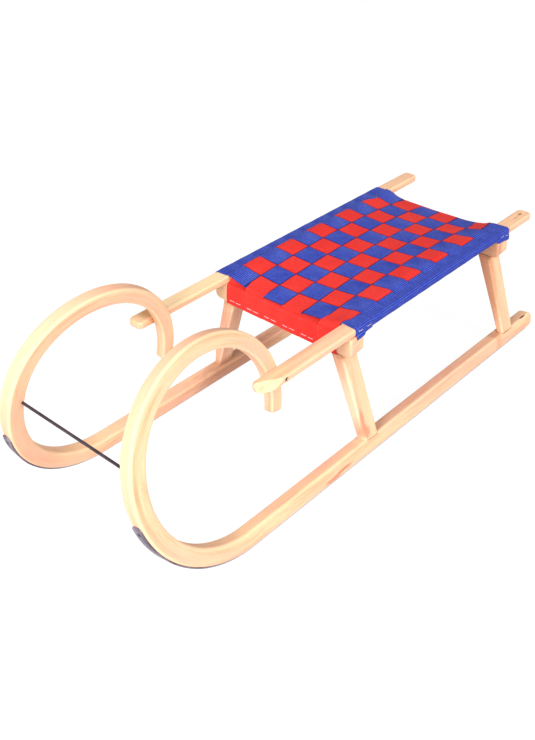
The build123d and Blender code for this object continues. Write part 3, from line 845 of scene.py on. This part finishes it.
def long_level(column, x, y, offset):
    """Height of a long tape's middle surface, down to the front yoke at its front end."""
    sides = [-0.6] + [-1 if (column + j) % 2 == 0 else 1 for j in range(CROSS_COUNT)] + [-0.6]
    borders = [ROW_PITCH * (j - 0.5) for j in range(CROSS_COUNT + 1)]
    place = row_at(x, y) * ROW_PITCH
    side = stepped(place, borders, sides)
    level = seat_level(x, y)
    edge = x_at(-0.5, y)
    start = edge + 1.0 if sides[1] > 0 else edge - 16.0
    level += (FRONT_LEVEL - level) * smooth(x, start, FOLD_FRONT)
    return level + side * (LIFT + crown(place, ROW_PITCH, 2 * offset / LONG_WIDTH))


class Tape:
    """Middle surface of a strap as rows of points, turned into a closed thin solid."""

    def __init__(self, width, columns):
        half = width / 2
        inner = np.linspace(-(half - 1.0), half - 1.0, columns)
        self.offsets = [-half, 0.25 - half, *inner, half - 0.25, half]
        self.width, self.rows, self.bulges, self.shades = width, [], [], []

    def add(self, points, bulge=0.0, dip=0.0, side=0.0):
        """A row across the tape; dip and side are how much painted shade it gets along, and at its
        two ends.
        """
        self.rows.append(points)
        self.bulges.append(bulge)
        ends = [max(dip, side)] * 2
        self.shades.append(ends + [dip] * (len(points) - 4) + ends)

    @staticmethod
    def around(values):
        """Values across the tape, put in the order of a ring round it."""
        return values[1:-1] + [values[-1]] + values[-2:0:-1] + [values[0]]

    def piece(self, name, material, slot, nodes, seed):
        grid = np.array([[tuple(p) for p in row] for row in self.rows])
        normal = np.cross(np.gradient(grid, axis=0), np.gradient(grid, axis=1))
        normal /= np.linalg.norm(normal, axis=2, keepdims=True)
        count = len(self.offsets)
        middle = count // 2
        if normal[len(grid) // 2, middle, 2] < 0:
            normal = -normal
        share = np.array(self.offsets) / (self.width / 2)
        for k, bulge in enumerate(self.bulges):
            if bulge:
                for c, part in enumerate(share):
                    ripple = noise.noise(Vector(grid[k, c]) * 0.05 + Vector((seed, 0, 0)))
                    grid[k, c] += normal[k, c] * bulge * (1 - part**2 + 0.7 * ripple)
        steps = np.linalg.norm(np.diff(grid[:, middle], axis=0), axis=1)
        length = np.concatenate([[0], np.cumsum(steps)])
        shape, loops = Shape(), []
        for k in range(len(grid)):
            face, out = grid[k, 1:-1], normal[k, 1:-1] * TAPE_HALF
            ring = (*(face + out), grid[k, -1], *(face - out)[::-1], grid[k, 0])
            places = [(length[k], c, seed) for c in self.around(self.offsets)]
            shades = self.around(self.shades[k])
            loops.append(shape.ring([Vector(p) for p in ring], places, shades))
        for a, b in zip(loops, loops[1:]):
            shape.join(a, b)
        # both ends: quads from top to underside, a triangle at each edge
        last = 2 * (count - 2) + 1
        for loop in (loops[0], loops[-1]):
            pairs = [(loop[c], loop[last - 1 - c]) for c in range(count - 2)]
            for (t0, u0), (t1, u1) in zip(pairs, pairs[1:]):
                shape.faces.append((t0, t1, u1, u0))
            shape.faces.append((pairs[0][0], pairs[0][1], loop[last]))
            shape.faces.append((pairs[-1][0], loop[count - 2], pairs[-1][1]))
        thing = shape.piece(name, material, slot, nodes, weighted=False)


def painted_border_shade(place, pitch, offset):
    """Painted shade: 1 at the border between two crossings, 0 a little way from it."""
    gap = abs((place - offset) / pitch - round((place - offset) / pitch)) * pitch
    return 1 - smooth(gap, 0.35 * CHANGE, 0.8 * CHANGE)


def weave_stops(pitch, count, offset):
    """Places along a tape with enough steps at each change from over to under."""
    stops = []
    for k in range(count):
        border = offset + k * pitch
        stops += [border + CHANGE * t for t in (-0.75, -0.5, -0.3, -0.1, 0.1, 0.3, 0.5, 0.75)]
        if k < count - 1:
            stops += [border + pitch * t for t in (0.12, 0.26, 0.4, 0.5, 0.6, 0.74, 0.88)]
    return stops


def beside_yoke(row, x):
    """1 beside the end of the yoke that a hanging strap passes, 0 clear of it."""
    front = face_at("front" if row == 0 else "rear", RAIL_BOTTOM)
    back = front - YOKE_D
    return smooth(x, back - 4.5, back - 0.5) * (1 - smooth(x, front + 0.5, front + 4.5))


def over_yoke_end(row, x, level):
    """How far out a hanging strap is pushed by the yoke's end below the rail."""
    return beside_yoke(row, x) * (YOKE_HALF - RAIL_OUTER + 0.4) * (1 - smooth(level, 247.5, 253.5))


def hang_level(row, x):
    """Lower edge of the first and last cross tapes, which hang over a yoke's end."""
    if row == 0:
        return 247.0 - 4.0 * smooth(x, 8, 46)
    return 245.0 - 4.0 * smooth(-x, 415, 448)


def build_cross(row):
    """A cross tape, wrapped over both rails."""
    tape = Tape(CROSS_WIDTH, 15)
    hanging = row in (0, CROSS_COUNT - 1)
    arc = RAIL_R + CLEAR + TAPE_HALF
    turn_y, turn_top, turn_low = RAIL_OUTER - RAIL_R, RAIL_TOP - RAIL_R, RAIL_BOTTOM + RAIL_R
    # each station: y, level, bulge. A level below 0 is a share of the way down a hanging end,
    # and no level is the weave's own
    def quarter(level, start):
        angles = [start - pi / 2 * k / 8 for k in range(9)]
        return [(turn_y + arc * cos(t), level + arc * sin(t), 0.25) for t in angles]

    wrap = quarter(turn_top, pi / 2)
    if hanging:
        shares = (-0.12, -0.25, -0.4, -0.55, -0.7, -0.85, -0.93, -1.0)
        wrap += [(turn_y + arc, share, 0.35) for share in shares]
    else:
        room = turn_low - turn_top
        wrap += [(turn_y + arc, turn_top + room * t, 0.3) for t in (0.25, 0.5, 0.75)]
        wrap += quarter(turn_low, 0.0)
        wrap += [(turn_y - reach, RAIL_BOTTOM - CLEAR - TAPE_HALF, 0.0) for reach in (4, 8, 11.2)]
    seat = sorted(weave_stops(COLUMN_PITCH, LONG_COUNT + 1, -COLUMN_PITCH * LONG_COUNT / 2))
    seat = [-148.0, -143.0, -138.5] + seat + [138.5, 143.0, 148.0]
    stations = [(-y, z, bulge) for y, z, bulge in reversed(wrap)]
    stations += [(y, None, 0.0) for y in seat] + wrap
    for y, z, bulge in stations:
        wide = 1 + 0.024 * smooth(abs(y), 133, 150)
        points = []
        for offset in tape.offsets:
            x = x_at(row - offset * wide / ROW_PITCH, y)
            level, out = z, 0.0
            if z is None:
                level = cross_level(row, x, y, offset)
            elif z < 0:
                level = turn_top + (turn_top - hang_level(row, x)) * z
                out = over_yoke_end(row, x, level)
            points.append((x, y + (out if y > 0 else -out), level))
        # painted shade: dark lines at the crossings' borders and along the tape's edges in the
        # weave, darker seams on the rail's side, and a little along its edges elsewhere
        inside = 1 - smooth(abs(y), 118, 130)
        on_side = smooth(abs(y), 154, 156)
        dip = painted_border_shade(y, COLUMN_PITCH, 0.0) * inside
        tape.add(points, bulge, dip, max(0.85 * inside, 0.7 * on_side, 0.25))
    node = f"strap_cross_{row + 1}"
    tape.piece(f"{node}_look", BLUE, "blue_webbing", [node], 0.37 * row)


TUCK_Y = 106.0  # out from here the outer long tapes are tucked in at the rear crossings
WIDER = 1.022  # a long tape's width on the front yoke, over its width in the weave


def hang_off(share):
    """How far a long tape's front end stands off the yoke, at a share of its height."""
    return 1.1 * sin(pi * share) + 0.25


def build_long(column):
    """A long tape, from its front end up over the yoke, along the seat and down behind."""
    tape = Tape(LONG_WIDTH, 15)
    middle = COLUMN_Y[column]
    end_level = 206.4 + 0.9 * noise.noise(Vector((column * 3.1, 0.5, 0)))
    arc = YOKE_R + YOKE_CLEAR + TAPE_HALF
    # the six tapes side by side fill the room between the rails
    squeeze = (RAIL_INNER - 0.7) / (COLUMN_PITCH * (LONG_COUNT - 1) / 2 + LONG_WIDTH / 2)
    # down the front of the yoke
    for share in (0, 0.04, 0.1, 0.2, 0.35, 0.5, 0.65, 0.8, 0.92):
        level = end_level + (RAIL_BOTTOM - YOKE_R - end_level) * share
        x = face_at("front", level) + YOKE_CLEAR + TAPE_HALF + hang_off(share)
        fan = squeeze + (0.985 - squeeze) * (1 - share) * 0.8
        tape.add([(x, (middle + c * WIDER) * fan, level) for c in tape.offsets], 0.12)
    folded = [(middle + c * WIDER) * squeeze for c in tape.offsets]
    for k in range(8):
        angle = radians(-2 + 92 * k / 8)
        x = FOLD_FRONT + arc * cos(angle) + 0.25 * (1 - k / 8)
        z = RAIL_BOTTOM - YOKE_R + arc * sin(angle)
        tape.add([(x, y, z) for y in folded])
    # over the seat
    start = min(x_at(-0.5, middle) + 2.5, FOLD_FRONT - 0.5)
    for x in [FOLD_FRONT - d for d in (0.0, 2.0, 4.5, 7.0, 9.5)]:
        if x > start:
            places = zip(tape.offsets, folded)
            tape.add([(x, y, long_level(column, x, y, c)) for c, y in places])
    for place in sorted(weave_stops(ROW_PITCH, CROSS_COUNT + 1, -ROW_PITCH / 2)):
        row = place / ROW_PITCH
        if x_at(row, middle) > FOLD_FRONT - 2.0:
            continue
        pull = smooth(-row, 0.05, 0.46) + smooth(row, CROSS_COUNT - 1.1, CROSS_COUNT - 0.6)
        tuck = 0.5 * smooth(row, CROSS_COUNT - 2.5, CROSS_COUNT - 1.55)
        points = []
        for c in tape.offsets:
            y = (middle + c) * (1 + (squeeze - 1) * pull)
            if abs(y) > TUCK_Y:
                y = copysign(TUCK_Y + (abs(y) - TUCK_Y) * (1 - tuck), y)
            x = min(x_at(row, y), FOLD_FRONT - 1.2 - 10 * (row + 0.54))
            points.append((x, y, long_level(column, x, y, c)))
        # painted shade at the crossings' borders and along the tape's edges in the weave
        inside = 1 - smooth(-row, 0.36, 0.5)
        dip = painted_border_shade(place, ROW_PITCH, ROW_PITCH / 2) * inside
        tape.add(points, dip=dip, side=0.85 * inside)
    # over the rear yoke's back edge and down behind it
    back = face_at("rear", RAIL_BOTTOM) - YOKE_D / cos(RAKE) + YOKE_R
    last = [(x, y, z, min(back, x - 0.5)) for x, y, z in tape.rows[-1]]
    for t in (0.2, 0.4, 0.6, 0.8, 1.0):
        drop = smooth(t, 0.0, 1.0)
        tape.add([(x + (end - x) * t, y, z + (ON_YOKE - z) * drop) for x, y, z, end in last])
    for k in range(1, 8):
        angle = radians(95 * k / 8)
        level = RAIL_BOTTOM - YOKE_R + arc * cos(angle)
        tape.add([(end - arc * sin(angle), y, level) for _, y, _, end in last])
    for level in (240, 236.5, 233.8, 232.2):
        slant = (level - RAIL_BOTTOM + YOKE_R) * tan(RAKE)
        tape.add([(end - arc + slant, y, level) for _, y, _, end in last])
    node = f"strap_long_{column + 1}"
    tape.piece(f"{node}_look", RED, "red_webbing", [node], 5.1 + 0.41 * column)


for row in range(CROSS_COUNT):
    build_cross(row)
for column in range(LONG_COUNT):
    build_long(column)


# ---- staples ----
FLATTEN = 0.7  # a staple wire's thickness over its width
ON_TAPE = 2 * TAPE_HALF  # a whole tape's thickness


def staple(shape, centre, along, out, length=12.0):
    """Crown of a staple pressed into the tape, its two legs going in."""
    side = out.cross(along)
    half, wire = length / 2, 0.55
    path = [(-half, -1.6), (-half, -0.3), (-half + 0.25, 0.15), (-half + 0.8, 0.35), (0, 0.25)]
    path += [(-u, v) for u, v in reversed(path[:-1])]
    rings = []
    for k, (u, v) in enumerate(path):
        before, after = path[max(0, k - 1)], path[min(len(path) - 1, k + 1)]
        du, dv = after[0] - before[0], after[1] - before[1]
        size = hypot(du, dv)
        up = (out * du - along * dv) / size
        spot = centre + along * u + out * v
        rings.append(plain_ring(circle(spot, side, up * FLATTEN, wire, 10)))
    shape.tube(rings)


bright, black = Shape(), Shape()
for y in COLUMN_Y:
    for shift in (-8.0, 8.0):
        place = (y + shift) * 0.97
        tilt = Vector((0, 1, 0.05 * noise.noise(Vector((place, 1.0, 0))))).normalized()
        level = 216.2 + 0.8 * noise.noise(Vector((place, 0, 0)))
        x = face_at("front", level) + ON_TAPE + YOKE_CLEAR + hang_off(0.25)
        staple(bright, Vector((x, place, level)), tilt, X, 11.5)
# the staples of the hanging ends: x, level, lean
HANGING = (37.5, 256.0, 0.12), (14.0, 255.5, 0.05), (-424.0, 253.5, -0.1), (-441.0, 251.0, 0.3)
HEM_Y = 146.0  # under the rails
for side in (1, -1):
    for x, level, lean in HANGING:
        way = Vector((1, 0, lean)).normalized()
        out = over_yoke_end(0 if x > 0 else CROSS_COUNT - 1, x, level)
        spot = Vector((x, side * (RAIL_OUTER + CLEAR + ON_TAPE + 0.3 + out), level))
        staple(bright, spot, way, Y * side, 11.0)
    spot = Vector((-434.0, side * (RAIL_OUTER + CLEAR + ON_TAPE + 0.2), 244.5))
    staple(black, spot, Vector((0.8, 0, 0.6)), Y * side, 5.0)
    for row in range(1, CROSS_COUNT - 1):
        y = side * HEM_Y
        spot = Vector((x_at(row, y), y, RAIL_BOTTOM - CLEAR - ON_TAPE))
        staple(bright, spot, X, -Z, 11.0)
rear_x = face_at("rear", 235) - YOKE_D / cos(RAKE) - ON_TAPE - 0.5
for y in COLUMN_Y:
    staple(bright, Vector((rear_x, y * 0.95, 235.5)), Y, -X)
bright.piece("staples_look", STAPLE, "steel")
black.piece("black_staples_look", BLACK, "screw")

# ---- floor, light and camera ----
floor_mesh = bpy.data.meshes.new("floor")
floor_mesh.from_pydata([(-9, -9, 0), (9, -9, 0), (9, 9, 0), (-9, 9, 0)], [], [(0, 1, 2, 3)])
floor = placed("floor", floor_mesh)
ground = Material("floor_white")
rays = ground.add("LightPath").outputs["Is Camera Ray"]
# the camera sees a white floor with a faint shadow; everything else gets plain light back from it
ground.set(Base_Color=ground.mix(rays, (0.6, 0.6, 0.6, 1), (0.13, 0.13, 0.13, 1)))
ground.set(Roughness=1.0, Specular_IOR_Level=0.0, Emission_Color=(1, 1, 1, 1))
ground.set(Emission_Strength=ground.times(rays, 0.92))
floor_mesh.materials.append(ground.material)

world = bpy.data.worlds.new("studio")
bpy.context.scene.world = world
sky = Nodes(world)
# the white that lights the scene, and the brighter one that the camera sees
lit, seen = [
    sky.add("Background", {"Color": (1, 1, 1, 1), "Strength": strength}).outputs[0]
    for strength in (0.46, 1.05)
]
rays = sky.add("LightPath").outputs["Is Camera Ray"]
sky.add("OutputWorld", {"Surface": sky.add("MixShader", {0: rays, 1: lit, 2: seen}).outputs[0]})


def lamp(name, place, aim, size, watts, colour=(1, 1, 1)):
    """A square area light at a place, turned towards aim."""
    data = bpy.data.lights.new(name, "AREA")
    data.shape, data.size, data.energy, data.color = "SQUARE", size, watts, colour
    thing = placed(name, data)
    thing.location = place
    thing.rotation_euler = (Vector(aim) - Vector(place)).to_track_quat("-Z", "Y").to_euler()


lamp("key", (3.6, 0.4, 2.0), (0.1, 0, 0.15), 1.8, 182, (1.0, 0.99, 0.98))
lamp("fill", (0.3, 3.5, 1.9), (0, 0, 0.15), 2.0, 108)

scene = bpy.context.scene
scene.view_settings.view_transform = "Standard"
camera_data = bpy.data.cameras.new("camera")
camera_data.lens, camera_data.sensor_width = 46.74, 36.0
camera_data.clip_start, camera_data.clip_end = 0.05, 50.0
camera = placed("camera", camera_data)
camera.location = (1.1568, 0.9444, 1.1299)
pitch, yaw = radians(35.12), radians(41.67)
forward = Vector((-cos(yaw) * cos(pitch), -sin(yaw) * cos(pitch), -sin(pitch)))
camera.rotation_euler = forward.to_track_quat("-Z", "Y").to_euler()
scene.camera = camera
